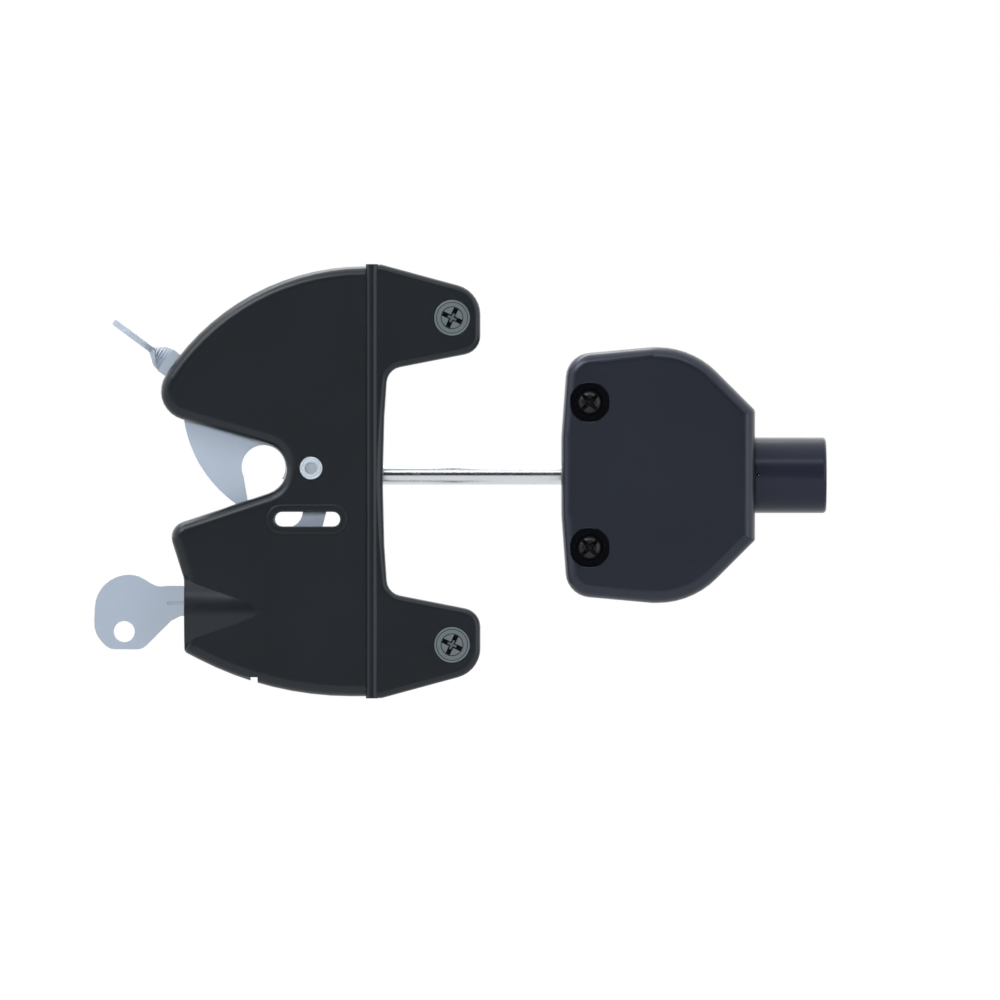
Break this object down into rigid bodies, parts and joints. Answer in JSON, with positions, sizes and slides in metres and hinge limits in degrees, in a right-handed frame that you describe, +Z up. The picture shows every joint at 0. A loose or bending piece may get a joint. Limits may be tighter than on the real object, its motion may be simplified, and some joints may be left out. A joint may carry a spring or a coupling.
{
  "type": "pushbutton gate latch",
  "caption": "Lockable gate latch: a sprung steel rotor in a plastic body catches a striker bar, and a button on the far side releases it through a push rod.",
  "frame": {"origin": "on the rod axis height, at the corner of the bracket's two seating faces: x = 0 is the face of the spine, y = 0 is the back of the flange legs", "axes": "+X from the latch body towards the push button, +Y away from the viewer, +Z up"},
  "size_m": [0.2294, 0.0389, 0.1357],
  "materials": {
    "casing_plastic": "satin, fine moulded grain, glass-filled nylon",
    "housing_plastic": "satin moulded, blue-black",
    "button_plastic": "semi-gloss moulded",
    "rotor_steel": "blasted stainless plate, thin dark cut edges",
    "key_steel": "nickel-plated flat steel",
    "rivet_steel": "bright turned steel",
    "zinc_plate": "bright zinc plate",
    "black_screw": "black passivated",
    "spring_wire": "drawn spring wire",
    "bush_bronze": "sintered bronze",
    "acetal": "natural acetal",
    "lock_zinc": "die-cast zinc, satin",
    "lock_brass": "machined brass"
  },
  "bodies": {
    "root": {"mounting_bracket": "casing_plastic", "front_casing": "casing_plastic", "rear_casing": "casing_plastic", "bracket_screws": "zinc_plate", "casing_screws": "black_screw", "flange_screws": "black_screw", "pivot_pin": "rivet_steel", "rotor_spring": "spring_wire", "lock_barrel": "lock_zinc", "barrel_clip": "zinc_plate", "button_housing": "housing_plastic", "housing_back_plate": "housing_plastic", "back_plate_screws": "zinc_plate", "housing_screws": "black_screw", "button_bush": "acetal", "button_spring": "spring_wire"},
    "rotor": {"rotor": "rotor_steel", "rotor_bush": "bush_bronze"},
    "slide": {"release_slide": "acetal"},
    "button": {"push_button": "button_plastic", "button_retainer": "zinc_plate", "push_rod": "rivet_steel", "rod_set_screw": "black_screw"},
    "lock_core": {"lock_plug": "lock_brass", "lock_wafers": "lock_brass", "lock_cam": "zinc_plate", "cam_screw": "zinc_plate"},
    "key": {"key": "key_steel"},
    "bolt": {"lock_bolt": "lock_zinc"}
  },
  "joints": [
    {"name": "rotor_lift", "type": "hinge", "parent": "root", "child": "rotor", "pos_m": [-0.01906, 0.007, 0.00219], "axis": [0, 1, 0], "range_deg": [0, 45], "stiffness_Nm_per_rad": 0.2, "springref_deg": -20.05, "deforming": ["rotor_spring"]},
    {"name": "button_press", "type": "slide", "parent": "root", "child": "button", "axis": [-1, 0, 0], "range_m": [0, 0.00696], "stiffness_N_per_m": 300, "springref_m": -0.005, "deforming": ["button_spring"]},
    {"name": "slide_push", "type": "slide", "parent": "root", "child": "slide", "axis": [-1, 0, 0], "range_m": [0, 0.00696]},
    {"name": "key_turn", "type": "hinge", "parent": "root", "child": "lock_core", "pos_m": [-0.058, 0.007, -0.0425], "axis": [1, 0, 0], "range_deg": [0, 90]},
    {"name": "bolt_rise", "type": "slide", "parent": "root", "child": "bolt", "axis": [0, 0, 1], "range_m": [0, 0.004]},
    {"name": "key_withdraw", "type": "slide", "parent": "lock_core", "child": "key", "axis": [-1, 0, 0], "range_m": [0, 0.025]}
  ],
  "couplings": [
    {"joint": "rotor_lift", "follows": "button_press", "rad_per_m": 112.84},
    {"joint": "slide_push", "follows": "button_press", "ratio": 1},
    {"joint": "key_turn", "follows": "bolt_rise", "rad_per_m": 392.69}
  ]
}
